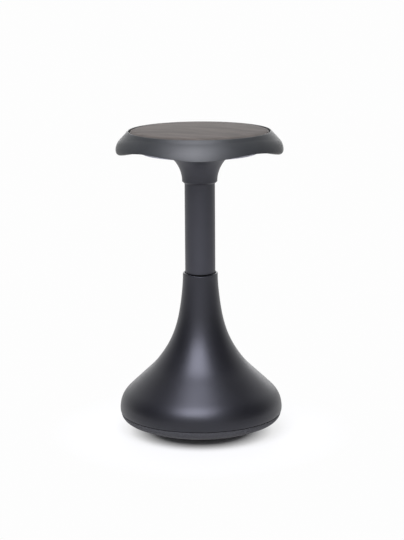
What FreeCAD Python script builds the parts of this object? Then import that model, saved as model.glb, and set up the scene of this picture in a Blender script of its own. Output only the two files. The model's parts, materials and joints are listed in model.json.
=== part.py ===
import FreeCAD, Part
import math
import os

# Height-adjustable wobble stool, in millimetres. Z is up and z = 0 is the floor.
# The front, where one of the four seat lobes points, is towards -Y.
# The stool is drawn at its full height, as it stands in use.

os.makedirs("parts", exist_ok=True)

# Overall
overall_height = 635.0
seat_stroke = 180.0          # travel of the gas spring
same_part_gap = 0.1          # assembly clearance of pieces that don't move on each other
running_gap = 0.05           # radial clearance of shafts in their guides
free_gap = 0.3               # clearance between pieces that pass each other

# Floor sole and base pan
sole_inset = 1.8             # from the bell's widest line in to the sole's edge at the seam
dome_radius = 400.0          # rolling surface
rest_radius = 50.0           # flat patch that the stool rests on
sole_height = 45.0
sole_wall = 7.0
pan_wall = 4.0
pan_lip_height = 3.0
pan_lip_reach = 4.2
pan_deck_room = 2.1          # over the pan's dome at the ballast's edge
pan_pad_wall = 1.5           # round each post's foot
nut_cover = 1.5
pan_boss_radius = 60.0
pan_well_radius = 27.0
pan_well_floor = 20.0
rib_count = 8
rib_thickness = 4.0
rib_inset = 3.0              # from the ballast's edge in to the ribs' ends

# Ballast, flange and hub
ballast_side_gap = 9.5       # round the ballast, to the shell's posts
ballast_bore_radius = 28.5
ballast_thickness = 15.0
flange_radius = 60.0
flange_thickness = 5.0
hub_outer_radius = 31.0
hub_height = 42.0
flange_bolt_circle = 46.0
flange_bolt_count = 4
flange_bolt_radius = 4.0
flange_head_height = 5.3
flange_nut_height = 6.5
flange_nut_radius = 7.5
flange_bore_radius = 27.0
bolt_head_share = 1.6        # head radius over shank radius

# Bell
bell_radius = 168.3
bell_widest_height = 54.0
bell_shoulder_radius = 51.0
bell_wall = 3.5
offset_steps = 12            # points along the inside of the flare
bell_foot_reach = 66.9       # from the collar's radius to the foot of the flare
bell_foot_drop = 201.0       # from the collar's rim down to the foot of the flare
bell_foot_slope = 47.0       # degrees from upright
seam_gap = 0.5
flare_shape = [(0.18, 0.025), (0.5, 0.171), (0.726, 0.413), (0.876, 0.686)]
collar_top = 338.7
collar_radius = 35.9
collar_lip_rounding = 1.4
collar_scoop_depth = 4.2
collar_scoop_radius = 108.0
liner_wall = 1.0
liner_height = 38.0
liner_below_rim = 1.0
collar_solid_below_liner = 8.0
post_inset = 26.5            # from the sole's edge in to the posts' centres
post_radius = 5.5
post_count = 6
post_foot_height = 37.0
shell_screw_radius = 2.0
shell_screw_head_radius = 4.2
shell_screw_head_height = 2.2
shell_screw_depth = 24.0
screw_tip_room = 2.0

# Gas spring
tube_radius = 25.0
tube_wall = 1.8
tube_end_reserve = 3.8       # left over the buffer when the seat is lowest
tube_bottom = 36.0
tube_floor = 3.0
tube_taper = 1.5             # radius lost down to the bottom end
tube_lower_bore = 21.2
tube_step_above_hub = 4.0
bush_length = 60.0
bush_flange = 2.0
cylinder_radius = 14.0
cylinder_bore_radius = 11.5
cylinder_taper = 1.2
valve_depth = 30.0           # from the cylinder's top end down to the valve
rod_radius = 5.0
rod_end_radius = 4.0
rod_end_below = 5.0
rod_guide_length = 20.0
valve_length = 30.0
piston_length = 12.0
piston_lead = 2.0
clip_groove_depth = 0.6
cage_inset = 0.8
race_thickness = 2.5
race_radius = 15.0
ball_radius = 2.0
ball_circle = 10.5
ball_count = 12
cage_thickness = 1.5
thrust_washer_thickness = 2.0
buffer_height = 11.0
buffer_radius = 13.0
clip_thickness = 2.1
clip_radius = 8.0

# Column sleeve and neck
sleeve_radius = 31.0
sleeve_wall = 2.0
sleeve_overlap = 60.0        # length held inside the collar at full height
neck_length = 74.0
neck_radius = 35.9
neck_flare_radius = 66.0
neck_top_radius = 62.0
neck_wall = 2.5
neck_edge_height = 4.0
neck_socket_depth = 23.5
neck_flange_width = 10.0
neck_flange_thickness = 3.0
neck_screw_circle = 54.5
neck_screw_radius = 2.0

# Seat
pad_radius = 142.5
rim_width = 27.4             # beyond the pad's edge
rim_land = 0.1               # flat edge of the rim beside the pad's recess
pad_crown = 4.4
pad_height = 23.6            # from the core to the pad's edge
pad_edge_rounding = 3.0
cover_thickness = 1.5
hem_width = 12.0
board_thickness = 6.0
recess_gap = 1.0
core_beyond_pad = 7.5
core_thickness = 8.0
plate_thickness = 2.5
rim_widest_below = 15.1      # from the top of the core down to the rim's widest line
rim_top_below_pad = 0.8
rim_arc_radius = 28.0
rim_nose_radius = 9.9
rim_lip_reach = 4.0          # the rim's lip under the core's edge
rim_lip_height = 2.5
wave_mean = 14.75            # rim's lower edge, measured below the top of the core
wave_side = 4.0
wave_lobe = 6.25
wave_steps = 64
wave_cut_margin = 10.0       # the cutting surface beyond the rim
wave_cut_depth = 30.0

# Height release under the seat
ring_radius = 120.0
ring_bore_radius = 66.0
ring_thickness = 4.5
ring_edge_rounding = 2.0
ring_lift = 5.0
spring_solid_height = 4.0    # room that the springs keep when the ring is up
lug_length = 3.0
lug_width = 8.0
guide_circle = 95.0
guide_count = 3
guide_start_angle = 60.0
guide_shank_radius = 3.0
guide_head_radius = 6.0
guide_head_height = 1.8
guide_web = 2.3
guide_thread_radius = 2.0
guide_thread_length = 6.0
spring_radius = 4.6
spring_wire_radius = 0.35
spring_turns = 4.0
spring_wire_sides = 8         # the thin wire's section is drawn with flats
rocker_pivot = 32.0          # from the stool's axis
rocker_reach = 42.0          # from the pivot to the ring's lug
rocker_width = 9.0
rocker_thickness = 3.0
rocker_below_plate = 2.0
rocker_tail = 4.0
rocker_barrel_radius = 3.8
rocker_slot_gap = 1.5
plate_slot_start = 44.0
rocker_barrel_extra = 0.5
bracket_ear_gap = 1.0
bracket_end_room = 2.0
bracket_web = 1.5
pivot_pin_proud = 0.8
pivot_pin_radius = 2.0
bracket_thickness = 2.0
socket_radius = 22.0
socket_length = 53.5
socket_mouth_radius = 16.0
socket_mouth_above = 2.0     # over the cylinder's end
button_radius = 4.2
button_proud = 7.2
button_depth = 3.0
button_pocket = 9.0
pin_rod_radius = 2.0
pin_into_valve = 4.0
pin_valve_pocket = 9.0

# Fasteners of the seat
plate_bolt_circle = 38.0
plate_bolt_radius = 3.0
plate_bolt_flats = 10.0
plate_bolt_head_height = 4.0
plate_bolt_count = 4
tee_flange_radius = 8.0
tee_flange_thickness = 1.2
tee_barrel_radius = 4.0
tee_barrel_inset = 0.5
pad_screw_circle = 100.0
pad_screw_radius = 2.3
pad_screw_head_radius = 4.5
pad_screw_head_height = 2.6
pad_screw_length = 13.5
pad_screw_count = 4
pad_screw_start_angle = 45.0
lever_pocket_room = 2.0      # over the rocker's tip at its highest
lever_pocket_length = 24.0
lever_pocket_side = 1.0

# Radii that follow from others
sole_radius = bell_radius - sole_inset
post_circle = sole_radius - post_inset
ballast_radius = post_circle - post_radius - ballast_side_gap
rib_reach = ballast_radius - rib_inset
seat_radius = pad_radius + rim_width
core_radius = pad_radius + core_beyond_pad
rim_lip_radius = core_radius - rim_lip_reach

# Levels of the seat, worked down from the top
pad_edge = overall_height - pad_crown
core_top = pad_edge - pad_height
core_bottom = core_top - core_thickness
plate_bottom = core_bottom - plate_thickness
board_bottom = core_top + cover_thickness
board_top = board_bottom + board_thickness
board_radius = pad_radius - cover_thickness - same_part_gap
recess_radius = pad_radius + recess_gap
rim_widest = core_top - rim_widest_below
ring_bottom = core_bottom - spring_solid_height - ring_lift - ring_thickness
ring_top = ring_bottom + ring_thickness
rocker_top = plate_bottom - rocker_below_plate
rocker_bottom = rocker_top - rocker_thickness
pivot_height = plate_bottom - free_gap - rocker_barrel_radius
socket_bottom = plate_bottom - socket_length
button_top = rocker_bottom - free_gap
cylinder_top = button_top - button_proud
neck_bottom = plate_bottom - neck_length

# Levels of the base and the gas spring, worked up from the floor
dome_centre = math.sqrt(dome_radius ** 2 - rest_radius ** 2)
dome_at_ballast = dome_centre - math.sqrt(dome_radius ** 2 - ballast_radius ** 2)
pan_deck_height = dome_at_ballast + sole_wall + pan_wall + pan_deck_room
ballast_top = pan_deck_height + ballast_thickness
flange_top = ballast_top + flange_thickness
hub_top = flange_top + hub_height
race_bottom = tube_bottom + tube_floor
ball_level = race_bottom + race_thickness + ball_radius + same_part_gap
upper_race_bottom = ball_level + ball_radius + same_part_gap
thrust_washer_bottom = upper_race_bottom + race_thickness
rod_shoulder = thrust_washer_bottom + thrust_washer_thickness
tube_top = rod_shoulder + buffer_height + tube_end_reserve + seat_stroke + bush_length
bush_bottom = tube_top - bush_length
cylinder_bottom = bush_bottom
piston_bottom = cylinder_bottom + rod_guide_length + piston_lead
rod_top = piston_bottom + piston_length
valve_top = cylinder_top - valve_depth
valve_bottom = valve_top - valve_length
bell_bottom = sole_height + seam_gap
sleeve_bottom = collar_top - sleeve_overlap
sleeve_top = neck_bottom + neck_socket_depth
liner_top = collar_top - liner_below_rim
liner_radius = sleeve_radius + free_gap


def vec(x, y, z):
    return FreeCAD.Vector(x, y, z)


def at(radius, height):
    """Point of a turned profile."""
    return vec(radius, 0, height)


def save(name, shapes):
    """Writes one node as a STEP file."""
    shape = shapes[0] if len(shapes) == 1 else Part.makeCompound(shapes)
    shape.exportStep("parts/" + name + ".step")


def turned(edges):
    """Solid turned about Z from the edges of a closed profile."""
    face = Part.Face(Part.Wire(Part.__sortEdges__(edges)))
    return face.revolve(vec(0, 0, 0), vec(0, 0, 1), 360)


def lathe(points):
    """Solid turned about Z from (radius, height) corners."""
    corners = [at(r, z) for r, z in points]
    return turned([Part.LineSegment(a, b).toShape() for a, b in zip(corners, corners[1:] + corners[:1])])


def line(a, b):
    return Part.LineSegment(at(*a), at(*b)).toShape()


def arc(a, middle, b):
    return Part.Arc(at(*a), at(*middle), at(*b)).toShape()


def disc(radius, low, high, x=0.0, y=0.0):
    return Part.makeCylinder(radius, high - low, vec(x, y, low))


def ring(inner, outer, low, high, x=0.0, y=0.0):
    return disc(outer, low, high, x, y).cut(disc(inner, low - 1, high + 1, x, y))


def rod_along_y(radius, reach, x, z):
    return Part.makeCylinder(radius, 2 * reach, vec(x, -reach, z), vec(0, 1, 0))


def block(x0, x1, half_width, low, high):
    return Part.makeBox(x1 - x0, 2 * half_width, high - low, vec(x0, -half_width, low))


def around(circle, count, start=0.0):
    """Places on a circle about the stool's axis."""
    angles = [math.radians(start + 360.0 * i / count) for i in range(count)]
    return [(circle * math.cos(a), circle * math.sin(a)) for a in angles]


def cut_all(shape, tools):
    return shape.cut(Part.makeCompound(tools))


def polar(centre, radius, angle):
    """Point of a circle in a profile, with the angle in degrees from outwards."""
    turn = math.radians(angle)
    return (centre[0] + radius * math.cos(turn), centre[1] + radius * math.sin(turn))


# Sole and pan share one dome and one edge curve, at different depths

edge_radius = ((sole_radius ** 2 + (dome_centre - sole_height) ** 2 - dome_radius ** 2)
               / (2 * (sole_radius - dome_radius)))
edge_centre = (sole_radius - edge_radius, sole_height)
edge_start = -math.degrees(math.atan2(dome_centre - sole_height, edge_centre[0]))


def dome_height(radius, depth):
    """Height of the dome surface that lies a given depth inside the sole."""
    return dome_centre - math.sqrt((dome_radius - depth) ** 2 - radius ** 2)


def dome_edges(depth, inner_radius):
    """Dome from a given radius out to the seam, then its edge curve up to the seam's level."""
    joint = polar(edge_centre, edge_radius - depth, edge_start)
    middle_radius = (inner_radius + joint[0]) / 2
    start = (inner_radius, dome_height(inner_radius, depth))
    top = (edge_centre[0] + edge_radius - depth, sole_height)
    return [
        arc(start, (middle_radius, dome_height(middle_radius, depth)), joint),
        arc(joint, polar(edge_centre, edge_radius - depth, edge_start / 2), top),
    ], start, top


def floor_sole():
    """Rubber sole that the stool rolls on."""
    outer, outer_start, outer_top = dome_edges(0.0, rest_radius)
    inner, inner_start, inner_top = dome_edges(sole_wall, 0.0)
    return turned(outer + inner + [
        line((0, 0), (rest_radius, 0)),
        line((0, 0), inner_start),
        line(inner_top, outer_top),
    ])


def pan_pad_places():
    return around(post_circle, post_count)


def base_pan():
    """Moulded pan inside the sole, with a deck of ribs for the ballast and pads for the bell's posts."""
    depth = sole_wall + same_part_gap
    outer, outer_start, outer_top = dome_edges(depth, 0.0)
    inner, inner_start, inner_top = dome_edges(depth + pan_wall, 0.0)
    lip_top = sole_height + pan_lip_height
    lip_radius = outer_top[0] + pan_lip_reach
    shell = turned(outer + inner + [
        line(outer_start, inner_start),
        line(outer_top, (lip_radius, sole_height)),
        line((lip_radius, sole_height), (lip_radius, lip_top)),
        line((lip_radius, lip_top), (inner_top[0], lip_top)),
        line((inner_top[0], lip_top), inner_top),
    ])
    filling, start, top = dome_edges(depth + pan_wall / 2, 0.0)
    hollow = turned(filling + [line(start, (0, sole_height)), line((0, sole_height), top)])
    rib = block(0, rib_reach, rib_thickness / 2, 0, pan_deck_height)
    ribs = [rib.rotated(vec(0, 0, 0), vec(0, 0, 1), 360.0 * (i + 0.5) / rib_count) for i in range(rib_count)]
    inside = ribs + [disc(pan_boss_radius, 0, pan_deck_height)]
    inside += [disc(post_radius + pan_pad_wall, 0, post_foot_height, x, y) for x, y in pan_pad_places()]
    deck = inside[0].multiFuse(inside[1:]).common(hollow)
    pan = shell.fuse(deck)
    holes = [disc(pan_well_radius, pan_well_floor, pan_deck_height + 1)]
    nut_room = flange_nut_radius * 2 / math.sqrt(3) + free_gap
    for x, y in around(flange_bolt_circle, flange_bolt_count, 45):
        holes.append(disc(flange_bolt_radius + free_gap, 0, pan_deck_height + 1, x, y))
        holes.append(disc(nut_room, 0, nut_seat() + same_part_gap, x, y))
    for x, y in pan_pad_places():
        holes.append(disc(shell_screw_radius + free_gap, 0, sole_height, x, y))
        holes.append(disc(shell_screw_head_radius + free_gap, 0, shell_head_top(), x, y))
    return cut_all(pan, holes).removeSplitter()


def nut_seat():
    """Level that the flange nuts bear up against inside the pan."""
    return dome_height(flange_bolt_circle, sole_wall) + flange_nut_height + nut_cover


def shell_head_top():
    """Level that the shell screws bear up against inside the pan."""
    outermost = post_circle + shell_screw_head_radius
    return dome_height(outermost, sole_wall) + shell_screw_head_height + free_gap


def ballast_plate():
    """Iron ring that keeps the stool upright."""
    plate = ring(ballast_bore_radius, ballast_radius, pan_deck_height, ballast_top)
    places = around(flange_bolt_circle, flange_bolt_count, 45)
    return cut_all(plate, [disc(flange_bolt_radius + free_gap, 0, ballast_top + 1, x, y) for x, y in places])


def base_flange():
    """Steel plate that carries the hub on the ballast."""
    plate = ring(flange_bore_radius, flange_radius, ballast_top, flange_top)
    places = around(flange_bolt_circle, flange_bolt_count, 45)
    return cut_all(plate, [disc(flange_bolt_radius + free_gap, 0, flange_top + 1, x, y) for x, y in places])


def tube_outer_radius(height):
    """The tube tapers from the hub's top down to its end."""
    below = max(0.0, hub_top - height)
    return tube_radius - tube_taper * below / (hub_top - tube_bottom)


def taper_hub():
    """Turned socket that holds the gas spring's tapered tube."""
    return lathe([
        (tube_outer_radius(flange_top) + running_gap, flange_top),
        (hub_outer_radius, flange_top),
        (hub_outer_radius, hub_top),
        (tube_radius + running_gap, hub_top),
    ])


def flange_bolts():
    bolts = []
    tip = dome_height(flange_bolt_circle, sole_wall) + 1.0
    for x, y in around(flange_bolt_circle, flange_bolt_count, 45):
        head = disc(flange_bolt_radius * bolt_head_share, flange_top, flange_top + flange_head_height, x, y)
        bolts.append(head.fuse(disc(flange_bolt_radius, tip, flange_top, x, y)).removeSplitter())
    return bolts


def hexagon(across_flats, low, high, x, y):
    reach = across_flats / math.sqrt(3)
    corners = [vec(x + dx, y + dy, low) for dx, dy in around(reach, 6)]
    return Part.Face(Part.makePolygon(corners + corners[:1])).extrude(vec(0, 0, high - low))


def flange_nuts():
    top = nut_seat()
    return [hexagon(2 * flange_nut_radius, top - flange_nut_height, top, x, y)
            .cut(disc(flange_bolt_radius + same_part_gap, 0, top + 1, x, y))
            for x, y in around(flange_bolt_circle, flange_bolt_count, 45)]


# Bell

def bell_flare():
    """Curve of the bell's flare, from its foot up to the collar."""
    foot = (collar_radius + bell_foot_reach, collar_top - bell_foot_drop)
    points = [foot]
    for drop, reach in reversed(flare_shape):
        points.append((collar_radius + bell_foot_reach * reach, collar_top - bell_foot_drop * drop))
    points.append((collar_radius, collar_top - 2 * collar_lip_rounding))
    slope = math.radians(bell_foot_slope)
    pace = (bell_foot_drop + bell_foot_reach) / len(points)
    curve = Part.BSplineCurve()
    curve.interpolate(Points=[at(*p) for p in points],
                      InitialTangent=vec(-math.sin(slope), 0, math.cos(slope)) * pace,
                      FinalTangent=vec(0, 0, pace))
    return curve


def inside_curve(curve, depth):
    """Copy of a profile curve, a given depth nearer the axis."""
    first, last = curve.FirstParameter, curve.LastParameter
    points, tangents = [], []
    for i in range(offset_steps + 1):
        place = first + (last - first) * i / offset_steps
        along = curve.tangent(place)[0]
        points.append(curve.value(place) - vec(along.z, 0, -along.x) * depth)
        tangents.append(along)
    pace = curve.length() / offset_steps
    copy = Part.BSplineCurve()
    copy.interpolate(Points=points, Tangents=[t * pace for t in tangents],
                     TangentFlags=[True] * len(tangents))
    return copy


def bell_profile(depth):
    """Edges of the bell's side a given depth inside it, and their lowest and highest points."""
    centre = (bell_radius - bell_shoulder_radius, bell_widest_height)
    shoulder = bell_shoulder_radius - depth
    low_angle = -math.degrees(math.asin((bell_widest_height - bell_bottom) / shoulder))
    low = polar(centre, shoulder, low_angle)
    high = polar(centre, shoulder, bell_foot_slope)
    side = bell_flare()
    if depth:
        side = inside_curve(side, depth)
    foot, top = side.StartPoint, side.EndPoint
    middle = polar(centre, shoulder, (low_angle + bell_foot_slope) / 2)
    edges = [arc(low, middle, high), line(high, (foot.x, foot.z)), side.toShape()]
    return edges, low, (top.x, top.z)


def base_bell():
    """Moulded shell from the seam up to the collar, with posts inside for its screws."""
    outer, outer_low, outer_high = bell_profile(0.0)
    rounding = collar_lip_rounding
    lip = (collar_radius - rounding, collar_top - rounding)
    solid = turned(outer + [
        line((0, outer_low[1]), outer_low),
        line((0, outer_low[1]), (0, collar_top)),
        line((0, collar_top), (lip[0], collar_top)),
        arc((lip[0], collar_top), polar(lip, rounding, 45), (collar_radius, lip[1])),
        line((collar_radius, lip[1]), outer_high),
    ])
    inner, inner_low, inner_high = bell_profile(bell_wall)
    bore = liner_radius + liner_wall + same_part_gap
    ledge = liner_top - liner_height
    throat = liner_radius + free_gap
    cavity = turned(inner + [
        line((0, inner_low[1] - 1), (inner_low[0], inner_low[1] - 1)),
        line((inner_low[0], inner_low[1] - 1), inner_low),
        line((0, inner_low[1] - 1), (0, inner_high[1])),
        line((0, inner_high[1]), inner_high),
    ])
    cavity = cavity.common(disc(bell_radius, 0, ledge - collar_solid_below_liner))
    places = pan_pad_places()
    posts = [disc(post_radius, post_foot_height, collar_top, x, y).common(solid) for x, y in places]
    shell = solid.cut(cavity)
    shell = cut_all(shell, [disc(bore, ledge, collar_top + 1), disc(throat, 0, ledge + 1)])
    shell = shell.multiFuse(posts)
    scoop_height = collar_top - collar_scoop_depth + collar_scoop_radius
    scoop = rod_along_y(collar_scoop_radius, 2 * collar_radius, 0, scoop_height)
    drills = [disc(shell_screw_radius + running_gap, 0, post_foot_height + shell_screw_depth, x, y)
              for x, y in places]
    return cut_all(shell, drills + [scoop]).removeSplitter()


def collar_liner():
    """Slide liner in the collar that guides the column sleeve."""
    return ring(liner_radius, liner_radius + liner_wall, liner_top - liner_height, liner_top)


def shell_screws():
    screws = []
    top = shell_head_top()
    for x, y in pan_pad_places():
        head = disc(shell_screw_head_radius, top - shell_screw_head_height, top, x, y)
        shank = disc(shell_screw_radius, top, post_foot_height + shell_screw_depth - screw_tip_room, x, y)
        screws.append(head.fuse(shank).removeSplitter())
    return screws


# Gas spring

def gas_tube():
    """Outer tube of the gas spring, tapered where the hub holds it."""
    step = hub_top + tube_step_above_hub
    return lathe([
        (rod_end_radius + free_gap, tube_bottom),
        (tube_outer_radius(tube_bottom), tube_bottom),
        (tube_radius, hub_top),
        (tube_radius, tube_top),
        (tube_radius - tube_wall, tube_top),
        (tube_radius - tube_wall, step),
        (tube_lower_bore, step),
        (tube_lower_bore, race_bottom),
        (rod_end_radius + free_gap, race_bottom),
    ])


def guide_bush():
    """Long bush at the tube's mouth that the inner cylinder slides in."""
    bore = cylinder_radius + running_gap
    fit = tube_radius - tube_wall - same_part_gap
    return lathe([
        (bore, bush_bottom),
        (fit, bush_bottom),
        (fit, tube_top),
        (tube_radius, tube_top),
        (tube_radius, tube_top + bush_flange),
        (bore, tube_top + bush_flange),
    ])


def cylinder_end_radius():
    """Radius of the cylinder's taper at its top."""
    return cylinder_radius - cylinder_taper


def gas_cylinder():
    """Inner cylinder with a tapered top end, which carries the seat."""
    pin_bore = pin_rod_radius + free_gap
    pocket = button_radius + free_gap
    return lathe([
        (cylinder_bore_radius, cylinder_bottom),
        (cylinder_radius, cylinder_bottom),
        (cylinder_radius, socket_bottom),
        (cylinder_end_radius(), cylinder_top),
        (pocket, cylinder_top),
        (pocket, cylinder_top - button_pocket),
        (pin_bore, cylinder_top - button_pocket),
        (pin_bore, valve_top),
        (cylinder_bore_radius, valve_top),
    ])


def rod_guide():
    """Guide and seal where the rod enters the cylinder."""
    return ring(rod_radius + running_gap, cylinder_bore_radius - same_part_gap,
                cylinder_bottom, cylinder_bottom + rod_guide_length)


def valve_block():
    """Valve at the top of the cylinder that the release pin opens."""
    body = disc(cylinder_bore_radius - same_part_gap, valve_bottom, valve_top)
    return body.cut(disc(pin_rod_radius + free_gap, valve_top - pin_valve_pocket, valve_top + 1))


def release_pin():
    """Push pin in the cylinder's top that opens the valve."""
    low = valve_top - pin_into_valve
    head_low = cylinder_top - button_depth
    button = disc(button_radius, head_low, button_top)
    return button.fuse(disc(pin_rod_radius, low, head_low)).removeSplitter()


def piston_rod():
    """Rod that stands on the bearing in the tube, with a groove for its clip."""
    clip_low = tube_bottom - free_gap - clip_thickness
    rod = disc(rod_end_radius, tube_bottom - rod_end_below, rod_shoulder)
    rod = rod.fuse(disc(rod_radius, rod_shoulder, rod_top))
    groove = ring(rod_end_radius - clip_groove_depth, rod_radius,
                  clip_low - same_part_gap, clip_low + clip_thickness + same_part_gap)
    return rod.cut(groove).removeSplitter()


def piston():
    return ring(rod_radius + same_part_gap, cylinder_bore_radius - running_gap, piston_bottom, rod_top)


def rod_clip():
    """Open clip under the tube that holds the rod down."""
    low = tube_bottom - free_gap - clip_thickness
    clip = ring(rod_end_radius - clip_groove_depth + same_part_gap, clip_radius, low, low + clip_thickness)
    mouth = rod_end_radius - 2 * clip_groove_depth
    return clip.cut(block(0, clip_radius + 1, mouth, low - 1, low + clip_thickness + 1))


def bearing_lower_race():
    return ring(rod_end_radius + 2 * free_gap, race_radius, race_bottom, race_bottom + race_thickness)


def bearing_upper_race():
    return ring(rod_end_radius + same_part_gap, race_radius, upper_race_bottom, thrust_washer_bottom)


def bearing_balls():
    return [Part.makeSphere(ball_radius, vec(x, y, ball_level)) for x, y in around(ball_circle, ball_count)]


def ball_cage():
    """Flat cage that keeps the balls apart."""
    low = ball_level - cage_thickness / 2
    plate = ring(rod_end_radius + 2 * cage_inset, race_radius - cage_inset, low, low + cage_thickness)
    holes = [disc(ball_radius + same_part_gap, low - 1, low + cage_thickness + 1, x, y)
             for x, y in around(ball_circle, ball_count)]
    return cut_all(plate, holes)


def thrust_washer():
    return ring(rod_end_radius + same_part_gap, race_radius - cage_inset, thrust_washer_bottom, rod_shoulder)


def rubber_buffer():
    """Stop that the cylinder lands on at its lowest."""
    return ring(rod_radius + same_part_gap, buffer_radius, rod_shoulder, rod_shoulder + buffer_height)


# Column

def column_sleeve():
    """Visible column, fixed to the seat, that slides down over the gas spring's tube."""
    return ring(sleeve_radius - sleeve_wall, sleeve_radius, sleeve_bottom, sleeve_top)


def neck_boot():
    """Trumpet between the column and the seat, with a window for the rocker."""
    foot = neck_bottom + neck_edge_height
    centre = (neck_radius + neck_flare_radius, foot)
    start_in = neck_flare_radius + neck_wall
    bore = sleeve_radius + same_part_gap
    top_inner = neck_top_radius - neck_wall
    outer_rise = math.sqrt(neck_flare_radius ** 2 - (centre[0] - neck_top_radius) ** 2)
    inner_rise = math.sqrt(start_in ** 2 - (centre[0] - top_inner) ** 2)
    outer_top = (neck_top_radius, foot + outer_rise)
    inner_top = (top_inner, foot + inner_rise)
    inner_low = (centre[0] - math.sqrt(start_in ** 2 - (sleeve_top - foot) ** 2), sleeve_top)
    outer_bend = math.degrees(math.asin(outer_rise / neck_flare_radius))
    low_bend = math.degrees(math.asin((inner_low[1] - foot) / start_in))
    high_bend = math.degrees(math.asin(inner_rise / start_in))
    flange_bottom = plate_bottom - neck_flange_thickness
    flange_inner = top_inner - neck_flange_width
    boot = turned([
        line((bore, neck_bottom), (bore + 0.4, neck_bottom)),
        line((bore + 0.4, neck_bottom), (neck_radius, foot)),
        arc((neck_radius, foot), polar(centre, neck_flare_radius, 180 - outer_bend / 2), outer_top),
        line(outer_top, (neck_top_radius, plate_bottom)),
        line((neck_top_radius, plate_bottom), (flange_inner, plate_bottom)),
        line((flange_inner, plate_bottom), (flange_inner, flange_bottom)),
        line((flange_inner, flange_bottom), (top_inner, flange_bottom)),
        line((top_inner, flange_bottom), inner_top),
        arc(inner_top, polar(centre, start_in, 180 - (low_bend + high_bend) / 2), inner_low),
        line(inner_low, (bore, sleeve_top)),
        line((bore, sleeve_top), (bore, neck_bottom)),
    ])
    window = block(flange_inner - 1, neck_top_radius + 1, rocker_width / 2 + rocker_slot_gap,
                   rocker_bottom - rocker_slot_gap, plate_bottom + 1)
    drills = [disc(neck_screw_radius + same_part_gap, flange_bottom - 1, plate_bottom + 1, x, y)
              for x, y in neck_screw_places()]
    return cut_all(boot, drills + [window])


def neck_screw_places():
    """Three of four quarter places; the rocker passes at the fourth."""
    return around(neck_screw_circle, 4)[1:]


def neck_screws():
    screws = []
    seat = plate_bottom - neck_flange_thickness
    for x, y in neck_screw_places():
        head = disc(2 * neck_screw_radius, seat - neck_screw_radius, seat, x, y)
        shank = disc(neck_screw_radius, seat, core_bottom + core_thickness / 2, x, y)
        screws.append(head.fuse(shank).removeSplitter())
    return screws


# Seat

def slot_half_width():
    return rocker_width / 2 + rocker_slot_gap


def seat_plate():
    """Steel plate under the core that carries the socket and the rocker."""
    plate = disc(neck_top_radius, plate_bottom, core_bottom)
    tools = [block(plate_slot_start, neck_top_radius + 1, slot_half_width(),
                   plate_bottom - 1, core_bottom + 1)]
    for x, y in around(plate_bolt_circle, plate_bolt_count, 45):
        tools.append(disc(plate_bolt_radius + free_gap, plate_bottom - 1, core_bottom + 1, x, y))
    for x, y in neck_screw_places():
        tools.append(disc(neck_screw_radius + same_part_gap, plate_bottom - 1, core_bottom + 1, x, y))
    return cut_all(plate, tools)


def taper_socket():
    """Tapered socket welded under the plate, slotted for the rocker."""
    mouth = cylinder_top + socket_mouth_above
    body = lathe([
        (cylinder_radius + running_gap, socket_bottom),
        (socket_radius, socket_bottom),
        (socket_radius, plate_bottom),
        (socket_mouth_radius, plate_bottom),
        (socket_mouth_radius, mouth),
        (cylinder_end_radius() + running_gap, mouth),
        (cylinder_end_radius() + running_gap, cylinder_top),
    ])
    return body.cut(block(0, socket_radius + 1, slot_half_width(), mouth, plate_bottom + 1))


def pivot_bracket():
    """Bent bracket with two ears for the rocker's pin."""
    inner = rocker_width / 2 + bracket_ear_gap
    outer = inner + bracket_thickness
    start = socket_radius + free_gap
    end = rocker_pivot + rocker_barrel_radius + bracket_end_room
    low = pivot_height - rocker_barrel_radius
    between = block(start - 1, end + 1, inner, low - 1, plate_bottom + 1)
    ears = block(start, end, outer, low, plate_bottom).cut(between)
    bridge = block(start, rocker_pivot - rocker_barrel_radius - bracket_ear_gap, outer,
                   plate_bottom - bracket_web, plate_bottom)
    hole = rod_along_y(pivot_pin_radius + running_gap, 2 * outer, rocker_pivot, pivot_height)
    return ears.fuse(bridge).cut(hole).removeSplitter()


def rocker_pin():
    reach = rocker_width / 2 + bracket_ear_gap + bracket_thickness + pivot_pin_proud
    return rod_along_y(pivot_pin_radius, reach, rocker_pivot, pivot_height)


def release_rocker():
    """Lever from the ring's lug to the release pin."""
    end = rocker_pivot + rocker_reach + rocker_tail
    arm = block(-rocker_tail, end, rocker_width / 2, rocker_bottom, rocker_top)
    half = rocker_width / 2 + rocker_barrel_extra
    barrel = rod_along_y(rocker_barrel_radius, half, rocker_pivot, pivot_height)
    hole = rod_along_y(pivot_pin_radius + running_gap, 2 * half, rocker_pivot, pivot_height)
    return arm.fuse(barrel).cut(hole).removeSplitter()


def guide_places():
    return around(guide_circle, guide_count, guide_start_angle)


def release_ring():
    """Ring under the seat that is lifted with the fingers to change the height."""
    inner, outer, r = ring_bore_radius, ring_radius, ring_edge_rounding
    edge = (outer - r, ring_bottom + r)
    plate = turned([
        line((inner, ring_bottom), (outer - r, ring_bottom)),
        arc((outer - r, ring_bottom), polar(edge, r, -45), (outer, ring_bottom + r)),
        line((outer, ring_bottom + r), (outer, ring_top)),
        line((outer, ring_top), (inner, ring_top)),
        line((inner, ring_top), (inner, ring_bottom)),
    ])
    lug_middle = rocker_pivot + rocker_reach + 1.0
    lug = block(lug_middle - lug_length / 2, lug_middle + lug_length / 2, lug_width / 2, ring_top,
                rocker_bottom - free_gap)
    holes = []
    for x, y in guide_places():
        holes.append(disc(guide_shank_radius + free_gap, ring_bottom - 1, ring_top + 1, x, y))
        holes.append(disc(guide_head_radius + free_gap, ring_bottom - 1, ring_top - guide_web, x, y))
    return cut_all(plate.fuse(lug), holes).removeSplitter()


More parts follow.
